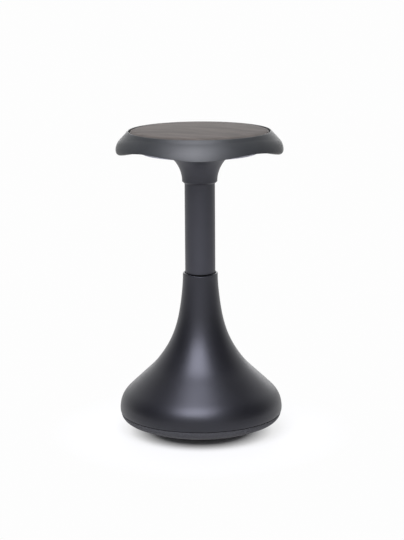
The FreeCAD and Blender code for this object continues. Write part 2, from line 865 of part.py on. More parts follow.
def ring_guide_screws():
    """Shoulder screws that the ring hangs on and slides up along."""
    screws = []
    seat = ring_top - guide_web - free_gap
    for x, y in guide_places():
        head = disc(guide_head_radius, seat - guide_head_height, seat, x, y)
        shank = disc(guide_shank_radius, seat, core_bottom, x, y)
        thread = disc(guide_thread_radius, core_bottom, core_bottom + guide_thread_length, x, y)
        screws.append(head.multiFuse([shank, thread]).removeSplitter())
    return screws


def ring_springs():
    """Coil springs that push the ring back down."""
    springs = []
    low = ring_top + spring_wire_radius + same_part_gap
    height = core_bottom - ring_top - 2 * (spring_wire_radius + same_part_gap)
    for x, y in guide_places():
        path = Part.makeHelix(height / spring_turns, height, spring_radius)
        path.translate(vec(x, y, low))
        corners = [vec(x + spring_radius + dx, y, low + dz)
                   for dx, dz in around(spring_wire_radius, spring_wire_sides)]
        wire = Part.makePolygon(corners + corners[:1])
        springs.append(Part.Wire(path).makePipeShell([wire], True, True))
    return springs


def seat_core():
    """Stiff disc that carries the pad above and the plate below."""
    core = disc(core_radius, core_bottom, core_top)
    tools = []
    for x, y in around(plate_bolt_circle, plate_bolt_count, 45):
        tools.append(disc(tee_barrel_radius + same_part_gap, core_bottom - 1, core_top + 1, x, y))
        tools.append(disc(tee_flange_radius + same_part_gap,
                          core_top - tee_flange_thickness, core_top + 1, x, y))
    for x, y in around(pad_screw_circle, pad_screw_count, pad_screw_start_angle):
        tools.append(disc(pad_screw_radius + free_gap, core_bottom - 1, core_top + 1, x, y))
    for x, y in guide_places():
        tools.append(disc(guide_thread_radius + same_part_gap, core_bottom - 1,
                          core_bottom + guide_thread_length + same_part_gap, x, y))
    for x, y in neck_screw_places():
        tools.append(disc(neck_screw_radius + same_part_gap, core_bottom - 1,
                          core_bottom + core_thickness / 2 + same_part_gap, x, y))
    middle = rocker_pivot + rocker_reach
    rise = ring_lift * (rocker_reach + rocker_tail) / rocker_reach
    pocket_top = rocker_top + rise + lever_pocket_room
    tools.append(block(middle - lever_pocket_length / 2, middle + lever_pocket_length / 2,
                       slot_half_width() + lever_pocket_side, core_bottom - 1, pocket_top))
    return cut_all(core, tools)


def plate_bolts():
    bolts = []
    for x, y in around(plate_bolt_circle, plate_bolt_count, 45):
        head = hexagon(plate_bolt_flats, plate_bottom - plate_bolt_head_height, plate_bottom, x, y)
        shank = disc(plate_bolt_radius, plate_bottom, core_top - tee_barrel_inset, x, y)
        bolts.append(head.fuse(shank).removeSplitter())
    return bolts


def tee_nuts():
    nuts = []
    for x, y in around(plate_bolt_circle, plate_bolt_count, 45):
        flange = disc(tee_flange_radius, core_top - tee_flange_thickness, core_top, x, y)
        barrel = disc(tee_barrel_radius, core_bottom + tee_barrel_inset,
                      core_top - tee_flange_thickness, x, y)
        bore = disc(plate_bolt_radius + same_part_gap, core_bottom - 1, core_top + 1, x, y)
        nuts.append(flange.fuse(barrel).cut(bore).removeSplitter())
    return nuts


def pad_screws():
    screws = []
    for x, y in around(pad_screw_circle, pad_screw_count, pad_screw_start_angle):
        head = disc(pad_screw_head_radius, core_bottom - pad_screw_head_height, core_bottom, x, y)
        shank = disc(pad_screw_radius, core_bottom, core_bottom + pad_screw_length, x, y)
        screws.append(head.fuse(shank).removeSplitter())
    return screws


def pad_board():
    """Plywood board inside the pad."""
    board = disc(board_radius, board_bottom, board_top)
    places = around(pad_screw_circle, pad_screw_count, pad_screw_start_angle)
    return cut_all(board, [disc(pad_screw_radius + same_part_gap, board_bottom - 1,
                                core_bottom + pad_screw_length + same_part_gap, x, y) for x, y in places])


def pad_top_edges(depth):
    """Crowned top of the pad with its rounded edge, a given depth inside the cover."""
    radius = pad_radius - depth
    r = pad_edge_rounding
    shoulder = (radius - r, pad_edge - depth)
    crown = overall_height - depth
    middle = (shoulder[0] * 0.7071, crown - (crown - shoulder[1]) * 0.5)
    return [
        arc((0, crown), middle, shoulder),
        arc(shoulder, polar((shoulder[0], shoulder[1] - r), r, 45), (radius, shoulder[1] - r)),
    ], (0, crown), (radius, shoulder[1] - r)


def pad_foam():
    top, crown, edge = pad_top_edges(cover_thickness + same_part_gap)
    return turned(top + [
        line(edge, (edge[0], board_top)),
        line((edge[0], board_top), (0, board_top)),
        line((0, board_top), crown),
    ])


def pad_cover():
    """Fabric cover, drawn as a closed skin with its hem turned under the board."""
    outer, outer_crown, outer_edge = pad_top_edges(0.0)
    inner, inner_crown, inner_edge = pad_top_edges(cover_thickness)
    hem = pad_radius - hem_width
    return turned(outer + inner + [
        line(outer_crown, inner_crown),
        line(outer_edge, (outer_edge[0], core_top)),
        line((outer_edge[0], core_top), (hem, core_top)),
        line((hem, core_top), (hem, board_bottom)),
        line((hem, board_bottom), (inner_edge[0], board_bottom)),
        line((inner_edge[0], board_bottom), inner_edge),
    ])


def wave_height(angle):
    """Rim's lower edge, with the angle measured from the front: deep at the sides, high at the diagonals."""
    return core_top - wave_mean + wave_side * math.cos(2 * angle) - wave_lobe * math.cos(4 * angle)


def wave_curve(radius):
    places = [2 * math.pi * i / wave_steps for i in range(wave_steps)]
    curve = Part.BSplineCurve()
    points = [vec(radius * math.sin(a), -radius * math.cos(a), wave_height(a)) for a in places]
    curve.interpolate(Points=points, PeriodicFlag=True)
    return curve.toShape()


def wave_cutter():
    """Everything below the rim's waved edge."""
    inner = rim_lip_radius - wave_cut_margin
    outer = seat_radius + wave_cut_margin
    low = wave_height(math.pi / 2) - wave_cut_depth
    top = Part.makeRuledSurface(wave_curve(inner), wave_curve(outer))
    return top.extrude(vec(0, 0, low - core_top))


def seat_rim():
    """Soft moulded rim round the pad, with a waved skirt."""
    centre = (seat_radius - rim_arc_radius, rim_widest)
    nose = (seat_radius - rim_nose_radius, rim_widest)
    rim_top = pad_edge - rim_top_below_pad
    land = (recess_radius + rim_land, rim_top)
    slant = math.hypot(land[0] - centre[0], land[1] - centre[1])
    bearing = math.degrees(math.atan2(land[1] - centre[1], land[0] - centre[0]))
    touch = bearing - math.degrees(math.acos(rim_arc_radius / slant))
    tangent = polar(centre, rim_arc_radius, touch)
    core_fit = core_radius + same_part_gap
    nose_inner = nose[0] - rim_nose_radius
    lip_low = core_bottom - rim_lip_height
    rim = turned([
        line((recess_radius, core_top), (recess_radius, rim_top)),
        line((recess_radius, rim_top), land),
        line(land, tangent),
        arc(tangent, polar(centre, rim_arc_radius, touch / 2), (seat_radius, rim_widest)),
        arc((seat_radius, rim_widest), (nose[0], rim_widest - rim_nose_radius), (nose_inner, rim_widest)),
        line((nose_inner, rim_widest), (rim_lip_radius, lip_low)),
        line((rim_lip_radius, lip_low), (rim_lip_radius, core_bottom)),
        line((rim_lip_radius, core_bottom), (core_fit, core_bottom)),
        line((core_fit, core_bottom), (core_fit, core_top)),
        line((core_fit, core_top), (recess_radius, core_top)),
    ])
    return rim.cut(wave_cutter())


single_parts = [
    floor_sole, base_pan, ballast_plate, base_flange, taper_hub, base_bell, collar_liner,
    gas_tube, guide_bush, gas_cylinder, rod_guide, valve_block, release_pin, piston_rod, piston, rod_clip,
    bearing_lower_race, bearing_upper_race, ball_cage, thrust_washer, rubber_buffer,
    column_sleeve, neck_boot, seat_plate, taper_socket, pivot_bracket, rocker_pin, release_rocker,
    release_ring, seat_core, pad_board, pad_foam, pad_cover, seat_rim,
]
grouped_parts = [
    flange_bolts, flange_nuts, shell_screws, bearing_balls, neck_screws, ring_guide_screws, ring_springs,
    plate_bolts, tee_nuts, pad_screws,
]

for make in single_parts:
    save(make.__name__, [make()])
for make in grouped_parts:
    save(make.__name__, make())
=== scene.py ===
import json
import math

import bmesh
import bpy
import numpy as np
from mathutils import Matrix, Vector


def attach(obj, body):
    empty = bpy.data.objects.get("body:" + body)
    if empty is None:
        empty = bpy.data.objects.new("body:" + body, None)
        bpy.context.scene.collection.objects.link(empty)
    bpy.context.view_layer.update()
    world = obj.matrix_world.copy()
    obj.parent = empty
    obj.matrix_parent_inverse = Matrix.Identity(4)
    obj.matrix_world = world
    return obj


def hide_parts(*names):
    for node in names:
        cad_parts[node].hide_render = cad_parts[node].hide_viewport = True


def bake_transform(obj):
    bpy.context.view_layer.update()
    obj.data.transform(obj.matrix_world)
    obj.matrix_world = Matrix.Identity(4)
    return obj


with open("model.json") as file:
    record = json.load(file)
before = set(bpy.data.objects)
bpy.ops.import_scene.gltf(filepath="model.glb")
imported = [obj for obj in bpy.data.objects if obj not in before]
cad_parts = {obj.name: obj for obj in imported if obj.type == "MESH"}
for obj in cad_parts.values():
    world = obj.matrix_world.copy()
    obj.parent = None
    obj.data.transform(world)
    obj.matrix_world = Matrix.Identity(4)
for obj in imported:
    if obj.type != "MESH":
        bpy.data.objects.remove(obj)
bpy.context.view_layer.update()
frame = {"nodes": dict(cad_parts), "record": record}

# Wobble stool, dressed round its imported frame. Metres, Z up, the front looks towards -Y.

nodes = frame["nodes"]
mm = 0.001
cadSharpAngle = 32.0            # an edge of the CAD that turns by more degrees than this stays sharp


# Small helpers

def linear(hexColour):
    # sRGB hex to the linear colour that a shader takes
    parts = [int(hexColour[i:i + 2], 16) / 255 for i in (1, 3, 5)]
    return [c / 12.92 if c < 0.04045 else ((c + 0.055) / 1.055) ** 2.4 for c in parts] + [1.0]


def put(tree, kind, settings=None, links=None):
    # adds one shader node, with its values and what feeds its sockets
    node = tree.nodes.new(kind)
    for name, value in (settings or {}).items():
        if isinstance(name, int) or name in node.inputs:
            node.inputs[name].default_value = value
        else:
            setattr(node, name, value)
    for name, source in (links or {}).items():
        tree.links.new(source, node.inputs[name])
    return node


def ramp(tree, source, stops):
    # shades from (place, grey level or hex colour) stops
    node = put(tree, "ShaderNodeValToRGB", links={"Fac": source})
    stopList = node.color_ramp.elements
    while len(stopList) < len(stops):
        stopList.new(1.0)
    for stop, (place, level) in zip(stopList, stops):
        stop.position = place
        stop.color = linear(level) if isinstance(level, str) else [level, level, level, 1.0]
    return node.outputs["Color"]


def smoothMesh(mesh, sharpAngle):
    mesh.polygons.foreach_set("use_smooth", [True] * len(mesh.polygons))
    mesh.set_sharp_from_angle(angle=math.radians(sharpAngle))
    mesh.update()


def meshPiece(name, points, faces, sharpAngle):
    mesh = bpy.data.meshes.new(name)
    mesh.from_pydata([tuple(p) for p in points], [], faces)
    work = bmesh.new()
    work.from_mesh(mesh)
    bmesh.ops.remove_doubles(work, verts=work.verts, dist=0.002 * mm)
    bmesh.ops.dissolve_degenerate(work, edges=work.edges, dist=0.001 * mm)
    bmesh.ops.recalc_face_normals(work, faces=work.faces)
    work.to_mesh(mesh)
    work.free()
    smoothMesh(mesh, sharpAngle)
    piece = bpy.data.objects.new(name, mesh)
    bpy.context.scene.collection.objects.link(piece)
    return piece


def spun(name, sectionAt, around, sharpAngle=35.0):
    # carries a closed section of (radius, height) points round the axis; the angle is measured from the front
    points = []
    for i in range(around):
        angle = 2 * math.pi * i / around
        section = sectionAt(angle)
        points += [(r * math.sin(angle), -r * math.cos(angle), z) for r, z in section]
    count = len(section)
    faces = []
    for i in range(around):
        here, there = i * count, (i + 1) % around * count
        for k in range(count):
            n = (k + 1) % count
            faces.append((here + k, there + k, there + n, here + n))
    return meshPiece(name, points, faces, sharpAngle)


def bow(centre, radius, start, end, steps):
    # points of an arc in a section, in degrees up from the radial direction
    turns = [math.radians(start + (end - start) * i / steps) for i in range(steps + 1)]
    return [(centre[0] + radius * math.cos(t), centre[1] + radius * math.sin(t)) for t in turns]


def along(a, b, steps):
    # points of a straight stretch, without its last one
    return [(a[0] + (b[0] - a[0]) * i / steps, a[1] + (b[1] - a[1]) * i / steps) for i in range(steps)]


def curveThrough(points, step):
    # a smooth line through points, at about even steps
    p = [(2 * points[0][0] - points[1][0], 2 * points[0][1] - points[1][1])] + list(points)
    p.append((2 * points[-1][0] - points[-2][0], 2 * points[-1][1] - points[-2][1]))
    p = np.array(p, float)
    out = []
    for i in range(1, len(p) - 2):
        count = max(1, int(round(np.linalg.norm(p[i + 1] - p[i]) / step)))
        for k in range(count):
            t = k / count
            out.append(tuple(0.5 * (2 * p[i] + (p[i + 1] - p[i - 1]) * t
                                    + (2 * p[i - 1] - 5 * p[i] + 4 * p[i + 1] - p[i + 2]) * t ** 2
                                    + (3 * p[i] - p[i - 1] - 3 * p[i + 1] + p[i + 2]) * t ** 3)))
    return out + [tuple(p[-2])]


def eased(line, reach):
    # evens out the bends of a line, more where it has more neighbours to lean on
    p = np.array(line, float)
    out = p.copy()
    for i in range(len(p)):
        n = min(reach, i, len(p) - 1 - i)
        weight = np.array([n + 1 - abs(k) for k in range(-n, n + 1)], float)
        out[i] = (p[i - n:i + n + 1] * weight[:, None]).sum(0) / weight.sum()
    return [tuple(q) for q in out]


def insideOf(line, wall):
    # the line moved inwards, square to itself, by the thickness of a wall
    p = np.array(line, float)
    d = np.gradient(p, axis=0)
    d /= np.linalg.norm(d, axis=1, keepdims=True)
    return [tuple(q) for q in p - wall * np.column_stack([d[:, 1], -d[:, 0]])]


def coordinates(piece):
    co = np.empty(len(piece.data.vertices) * 3, np.float64)
    piece.data.vertices.foreach_get("co", co)
    return co.reshape(-1, 3)


def setCoordinates(piece, co):
    piece.data.vertices.foreach_set("co", co.ravel())
    piece.data.update()


def applyModifiers(piece):
    graph = bpy.context.evaluated_depsgraph_get()
    mesh = bpy.data.meshes.new_from_object(piece.evaluated_get(graph))
    piece.modifiers.clear()
    piece.data = mesh


def outerSkin(name, low, high, step):
    # The outermost (radius, height) points of a turned CAD node, read in a narrow wedge at the front, which
    # misses the screw posts 30 degrees to either side. Faces that look inwards or straight up don't count.
    wedge, outwards = 8, 0.1
    mesh = nodes[name].data
    bands = {}
    for face in mesh.polygons:
        centre, normal = face.center, face.normal
        if normal.x * centre.x + normal.y * centre.y < outwards * math.hypot(centre.x, centre.y):
            continue
        for number in face.vertices:
            x, y, z = mesh.vertices[number].co
            radius = math.hypot(x, y)
            away = abs(math.degrees(math.atan2(x, -y)))
            band = int((z - low) / step + 0.01)
            if away < wedge and low - 0.01 * mm < z < high and radius > bands.get(band, (0, 0))[0]:
                bands[band] = (radius, z)
    return [bands[band] for band in sorted(bands)]


def dress(piece, material, body, slot, *stoodFor):
    piece.data.materials.clear()
    piece.data.materials.append(material)
    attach(piece, body)
    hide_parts(*stoodFor)
    return piece


# Camera, floor and light

view = {
    "place": (3.5 * mm, -3454.4 * mm, 1085.2 * mm),
    "pitch": 12.15,             # degrees below level
    "roll": -0.35,              # degrees, because the photograph leans a little
    "lens": 114.67,
    "sensor": 36.0,
    "farthest": 60.0,           # nothing beyond this distance is drawn
}


def makeCamera():
    bpy.context.scene.view_settings.view_transform = "Standard"
    data = bpy.data.cameras.new("photoCamera")
    data.lens = view["lens"]
    data.sensor_width = view["sensor"]
    data.clip_end = view["farthest"]
    camera = bpy.data.objects.new("photoCamera", data)
    bpy.context.scene.collection.objects.link(camera)
    camera.location = view["place"]
    down = Matrix.Rotation(math.radians(90 - view["pitch"]), 4, "X")
    roll = Matrix.Rotation(math.radians(view["roll"]), 4, "Z")
    camera.rotation_euler = (down @ roll).to_euler("XYZ")
    bpy.context.scene.camera = camera


studio = {
    "background": 0.985,        # the backdrop as the camera, glossy surfaces and glass see it
    "back": 0.95,               # the white sweep behind the stool lights it with this
    "sides": 0.06,
    "front": 0.70,              # a pale wall behind the camera
    # (place from the front wall, 0, to the back one, 1; whose light it gets; the share of that light)
    "room": [
        (0.0, "front", 1.0), (0.12, "front", 0.75), (0.28, "sides", 1.0),
        (0.58, "sides", 1.0), (0.80, "back", 0.8), (0.93, "back", 1.0),
    ],
    "behind": 0.9,              # from this place on, glossy surfaces see the backdrop
    "floorRadius": 9.0,
    "floorCorners": 96,
    "floorColour": "#e6e6ea",
    # the floor fades into the backdrop: (distance from the stool's axis, share of the backdrop's white)
    "fade": [(0.100, 0.0), (0.125, 0.40), (0.150, 0.78), (0.320, 1.0)],
    "lampAim": (0, 0, 320 * mm),
}

lamps = {
    # name: (degrees to the right of the front, degrees up, distance, size, watts, colour)
    "softbox": (-11, 50, 2.2, 1.6, 84.0, "#f4f5ff"),
    "overheadPanel": (150, 84, 2.6, 2.2, 12.0, "#ffffff"),
    "backdropGlow": (178, 22, 3.0, 2.8, 56.0, "#ffffff"),
}


def makeWorld():
    world = bpy.data.worlds.new("studioRoom")
    bpy.context.scene.world = world
    world.use_nodes = True
    tree = world.node_tree
    tree.nodes.clear()
    place = put(tree, "ShaderNodeTexCoord")
    split = put(tree, "ShaderNodeSeparateXYZ", links={"Vector": place.outputs["Generated"]})
    depth = put(tree, "ShaderNodeMath", {"operation": "MULTIPLY_ADD", 1: 0.5, 2: 0.5},
                {0: split.outputs["Y"]}).outputs[0]
    room = ramp(tree, depth, [(at, studio[wall] * share) for at, wall, share in studio["room"]])
    rays = put(tree, "ShaderNodeLightPath").outputs
    behind = put(tree, "ShaderNodeMath", {"operation": "GREATER_THAN", 1: studio["behind"]},
                 {0: depth}).outputs[0]
    glossy = put(tree, "ShaderNodeMath", {"operation": "MULTIPLY"},
                 {0: rays["Is Glossy Ray"], 1: behind}).outputs[0]
    seen = put(tree, "ShaderNodeMath", {"operation": "MAXIMUM"},
               {0: rays["Is Camera Ray"], 1: rays["Is Transmission Ray"]}).outputs[0]
    seen = put(tree, "ShaderNodeMath", {"operation": "MAXIMUM"}, {0: seen, 1: glossy}).outputs[0]
    white = put(tree, "ShaderNodeBackground", {"Color": [studio["background"]] * 3 + [1.0], "Strength": 1.0})
    dim = put(tree, "ShaderNodeBackground", {"Strength": 1.0}, {"Color": room})
    mixed = put(tree, "ShaderNodeMixShader", links={0: seen, 1: dim.outputs[0], 2: white.outputs[0]})
    put(tree, "ShaderNodeOutputWorld", links={"Surface": mixed.outputs[0]})


def makeLamps():
    target = Vector(studio["lampAim"])
    for name, (turn, up, distance, size, watts, colour) in lamps.items():
        data = bpy.data.lights.new(name, "AREA")
        data.shape = "SQUARE"
        data.size = size
        data.energy = watts
        data.color = linear(colour)[:3]
        lamp = bpy.data.objects.new(name, data)
        bpy.context.scene.collection.objects.link(lamp)
        a, e = math.radians(turn), math.radians(up)
        away = Vector((math.sin(a) * math.cos(e), -math.cos(a) * math.cos(e), math.sin(e)))
        lamp.location = target + away * distance
        lamp.rotation_euler = away.to_track_quat("Z", "Y").to_euler()
        lamp.visible_camera = False


def makeFloor():
    # painted studio floor: a matt white that keeps the stool's shadow and fades into the backdrop
    material = bpy.data.materials.new("paintedStudioFloor")
    material.use_nodes = True
    tree = material.node_tree
    tree.nodes.clear()
    place = put(tree, "ShaderNodeNewGeometry").outputs
    away = put(tree, "ShaderNodeVectorMath", {"operation": "LENGTH"}, {0: place["Position"]}).outputs["Value"]
    fade = ramp(tree, away, studio["fade"])
    rays = put(tree, "ShaderNodeLightPath").outputs
    seen = put(tree, "ShaderNodeMath", {"operation": "MAXIMUM"},
               {0: rays["Is Camera Ray"], 1: rays["Is Transmission Ray"]}).outputs[0]
    seen = put(tree, "ShaderNodeMath", {"operation": "MAXIMUM"},
               {0: seen, 1: rays["Is Glossy Ray"]}).outputs[0]
    far = put(tree, "ShaderNodeMath", {"operation": "MULTIPLY"}, {0: seen, 1: fade}).outputs[0]
    paint = put(tree, "ShaderNodeBsdfDiffuse", {"Color": linear(studio["floorColour"])})
    white = put(tree, "ShaderNodeEmission", {"Color": [studio["background"]] * 3 + [1.0], "Strength": 1.0})
    top = put(tree, "ShaderNodeMixShader", links={0: far, 1: paint.outputs[0], 2: white.outputs[0]})
    clear = put(tree, "ShaderNodeBsdfTransparent")
    under = put(tree, "ShaderNodeMath", {"operation": "MULTIPLY"},
                {0: place["Backfacing"], 1: rays["Is Camera Ray"]}).outputs[0]
    both = put(tree, "ShaderNodeMixShader", links={0: under, 1: top.outputs[0], 2: clear.outputs[0]})
    put(tree, "ShaderNodeOutputMaterial", links={"Surface": both.outputs[0]})
    corners, radius = studio["floorCorners"], studio["floorRadius"]
    turns = [2 * math.pi * i / corners for i in range(corners)]
    edge = [(radius * math.cos(t), radius * math.sin(t), 0) for t in turns]
    mesh = bpy.data.meshes.new("studioFloor")
    mesh.from_pydata(edge, [], [tuple(range(corners))])
    mesh.materials.append(material)
    floor = bpy.data.objects.new("studioFloor", mesh)
    bpy.context.scene.collection.objects.link(floor)


# Finishes

def surface(name, colour, roughness, **sockets):
    # a new material with one shader, and the object's own coordinates for its patterns
    material = bpy.data.materials.new(name)
    material.use_nodes = True
    tree = material.node_tree
    tree.nodes.clear()
    shader = put(tree, "ShaderNodeBsdfPrincipled", {"Base Color": linear(colour), "Roughness": roughness})
    for socket, value in sockets.items():
        shader.inputs[socket].default_value = value
    put(tree, "ShaderNodeOutputMaterial", links={"Surface": shader.outputs[0]})
    return material, tree, shader, put(tree, "ShaderNodeTexCoord").outputs["Object"]


def grainOf(tree, place, size, detail=3.0, stretch=(1.0, 1.0, 1.0)):
    # noise with grains of this size, drawn out along an axis where stretch is below 1
    placed = put(tree, "ShaderNodeMapping", {"Scale": stretch}, {"Vector": place}).outputs[0]
    return put(tree, "ShaderNodeTexNoise", {"Scale": 1.0 / size, "Detail": detail, "Roughness": 0.55},
               {"Vector": placed}).outputs["Fac"]


def tint(tree, shader, level, dark, light, low=0.35, high=0.65):
    # a colour that wanders between two shades
    tree.links.new(ramp(tree, level, [(low, dark), (high, light)]), shader.inputs["Base Color"])


def roughen(tree, shader, level, low, high):
    # noise mostly stays between 0.3 and 0.7
    span = put(tree, "ShaderNodeMapRange", {"From Min": 0.3, "From Max": 0.7, "To Min": low, "To Max": high},
               {"Value": level}).outputs["Result"]
    tree.links.new(span, shader.inputs["Roughness"])


def emboss(tree, shader, level, depth, strength=1.0):
    bump = put(tree, "ShaderNodeBump", {"Strength": strength, "Distance": depth}, {"Height": level})
    tree.links.new(bump.outputs[0], shader.inputs["Normal"])


plastic = {
    "refraction": 1.56,
    "reflection": "#f0f1ff",    # highlights are a little blue
    "clouds": 60 * mm,          # size of the faint clouds in the colour
}


def mouldedPlastic(name, dark, light, low, high, grain=1.2 * mm, depth=0.02 * mm):
    # polypropylene from a spark-eroded mould: a fine even grain that spreads highlights into a satin.
    # The real grain is about 0.15 mm, too fine to show, so it is drawn eight times as coarse.
    material, tree, shader, place = surface(name, dark, low, IOR=plastic["refraction"])
    shader.inputs["Specular Tint"].default_value = linear(plastic["reflection"])
    fine = grainOf(tree, place, grain)
    tint(tree, shader, grainOf(tree, place, plastic["clouds"]), dark, light)
    roughen(tree, shader, fine, low, high)
    emboss(tree, shader, fine, depth)
    return material


rimLook = {
    "dark": "#1a1c1e",
    "light": "#212325",
    "refraction": 1.56,
    "roughness": (0.47, 0.59),
    "clouds": 45 * mm,
    "grain": 1.6 * mm,
    "grainDepth": 0.04 * mm,
}


def foamSkin():
    # integral-skin polyurethane foam: a soft skin with faint clouds and the shallow grain of its mould
    low, high = rimLook["roughness"]
    material, tree, shader, place = surface("integralSkinPolyurethane", rimLook["dark"], low,
                                            IOR=rimLook["refraction"])
    tint(tree, shader, grainOf(tree, place, rimLook["clouds"]), rimLook["dark"], rimLook["light"])
    fine = grainOf(tree, place, rimLook["grain"])
    roughen(tree, shader, fine, low, high)
    emboss(tree, shader, fine, rimLook["grainDepth"])
    return material


padLook = {
    "dark": "#36312c",
    "light": "#4b443f",
    "roughness": 0.9,
    "sheen": 0.06,
    "sheenRoughness": 0.5,
    "specular": 0.25,
    "strokeTurn": 24,           # degrees that the strokes lie from left to right
    "strokeWidth": 20 * mm,
    "strokeStretch": 0.25,      # below 1 draws them out
    "threads": 1.8 * mm,        # from one thread to the next
    "threadTurns": (8, 98),     # degrees that the two sets of threads lie from left to right
    "threadDepth": 0.10 * mm,
}


def padCloth():
    # woven microfibre: a matt cloth with faint lighter strokes across the seat where its brushed nap lies;
    # the nap is real, and the strokes' lightness is its sheen, painted into the colour.
    # Its threads are 0.5 mm apart and are drawn 1.8 mm apart, so that they just show.
    material, tree, shader, place = surface("brushedMicrofibreCloth", padLook["dark"], padLook["roughness"])
    shader.inputs["Sheen Weight"].default_value = padLook["sheen"]
    shader.inputs["Sheen Roughness"].default_value = padLook["sheenRoughness"]
    shader.inputs["Specular IOR Level"].default_value = padLook["specular"]
    turned = put(tree, "ShaderNodeMapping", {"Rotation": (0, 0, math.radians(padLook["strokeTurn"]))},
                 {"Vector": place}).outputs[0]
    strokes = grainOf(tree, turned, padLook["strokeWidth"], 5.0, (padLook["strokeStretch"], 1.0, 1.0))
    # painted sheen: the strokes lighten the cloth's colour where the nap would throw back the light
    tint(tree, shader, strokes, padLook["dark"], padLook["light"], 0.3, 0.7)
    repeat = 0.314              # a wave texture repeats every 0.314 of its scaled length
    weave = []
    for turn in padLook["threadTurns"]:
        lay = put(tree, "ShaderNodeMapping", {"Rotation": (0, 0, math.radians(turn))}, {"Vector": place})
        weave.append(put(tree, "ShaderNodeTexWave", {"Scale": repeat / padLook["threads"], "Distortion": 0.5},
                         {"Vector": lay.outputs[0]}).outputs["Fac"])
    cross = put(tree, "ShaderNodeMath", {"operation": "MAXIMUM"}, {0: weave[0], 1: weave[1]}).outputs[0]
    emboss(tree, shader, cross, padLook["threadDepth"], 0.6)
    return material


soleLook = {
    "dark": "#29292c",
    "light": "#404044",
    "refraction": 1.5,
    "roughness": 0.75,
    "grain": 2.4 * mm,
    "grainDepth": 0.15 * mm,
}


def soleRubber():
    # nitrile rubber from a textured mould: matt, and coarser than the plastic above it
    material, tree, shader, place = surface("mouldedNitrileRubber", soleLook["dark"], soleLook["roughness"],
                                            IOR=soleLook["refraction"])
    fine = grainOf(tree, place, soleLook["grain"], 4.0)
    tint(tree, shader, fine, soleLook["dark"], soleLook["light"])
    emboss(tree, shader, fine, soleLook["grainDepth"])
    return material


def coated(name, dark, light, roughness, grain, depth, stretch=(1.0, 1.0, 1.0), **sockets):
    # for what hardly shows: paint, rubber, foam, wood and metals, told apart by colour, grain and depth
    material, tree, shader, place = surface(name, dark, roughness, **sockets)
    mark = grainOf(tree, place, grain, 4.0, stretch)
    tint(tree, shader, mark, dark, light)
    roughen(tree, shader, mark, roughness * 0.85, min(1.0, roughness * 1.2))
    emboss(tree, shader, mark, depth)
    return material


def makeFinishes():
    # slot: its finish. The shades, dark and light, are followed by a plastic's lowest and highest roughness,
    # or by the roughness, grain size and grain depth of the others.
    metal = {"Metallic": 1.0}
    return {
        "rim_skin": foamSkin(),
        "pad_fabric": padCloth(),
        # polypropylene: satin, nearly black at the base and pale grey at the ring
        "bell_plastic": mouldedPlastic("mouldedPolypropyleneBell", "#0e0e11", "#111115", 0.37, 0.45),
        "column_plastic": mouldedPlastic("mouldedPolypropyleneColumn", "#232327", "#27272b", 0.42, 0.50),
        "ring_plastic": mouldedPlastic("mouldedPolypropyleneRing", "#92929a", "#9a9aa2", 0.42, 0.5),
        "core_plastic": mouldedPlastic("mouldedPolypropyleneCore", "#202022", "#26262a", 0.45, 0.55),
        "pan_plastic": mouldedPlastic("mouldedPolypropylenePan", "#1c1c1e", "#222226", 0.5, 0.6),
        # acetal from a matt mould, black, and made blacker and duller as painted shade: a black with next to
        # no shine, so the mouth of the collar reads as a shaded gap
        "liner_plastic": coated("blackAcetalWithPaintedGapShade", "#030304", "#050506", 0.7, 2.0 * mm, 0.02 * mm,
                                **{"Specular IOR Level": 0.12}),
        # acetal in its own milky white
        "bush_plastic": mouldedPlastic("mouldedNaturalAcetal", "#d9d8d0", "#e2e1da", 0.3, 0.36, 2.0 * mm),
        "sole_rubber": soleRubber(),
        # nitrile seals: smooth soft black
        "seal_rubber": coated("smoothNitrileRubber", "#18181a", "#202022", 0.6, 3 * mm, 0.02 * mm),
        # sand-cast iron: a pitted grey skin
        "cast_iron": coated("sandCastIron", "#3c3c3e", "#4c4b4a", 0.7, 2.5 * mm, 0.25 * mm, **metal),
        # powder-coated steel: black with the slight orange peel of baked powder
        "black_steel": coated("powderCoatedSteel", "#17171a", "#1d1d20", 0.42, 2.0 * mm, 0.05 * mm),
        # turned steel, zinc plated: bright, with fine rings from the lathe
        "bright_steel": coated("turnedZincPlatedSteel", "#9da0a6", "#b4b7bc", 0.3, 1.5 * mm, 0.01 * mm,
                               (0.2, 0.2, 4.0), **metal),
        # polished hard chrome: near mirror, with the least of wear
        "chromed_steel": coated("polishedHardChrome", "#c6c9cf", "#d4d7dc", 0.12, 6 * mm, 0.004 * mm,
                                **metal),
        # stamped brass: yellow metal with rolled streaks
        "bronze_cage": coated("stampedBrass", "#a88748", "#bd9a55", 0.34, 4 * mm, 0.02 * mm,
                              (0.2, 1.0, 1.0), **metal),
        # sanded birch plywood: pale, with long narrow grain along one way
        "plywood": coated("sandedBirchPlywood", "#b8925f", "#d9bd90", 0.6, 3 * mm, 0.05 * mm,
                          (0.06, 1.0, 1.0)),
        # open-cell polyurethane foam: cream, with pinholes
        "foam": coated("openCellFoam", "#cfc49c", "#e0d7b4", 0.95, 1.5 * mm, 0.3 * mm),
    }


# Seat

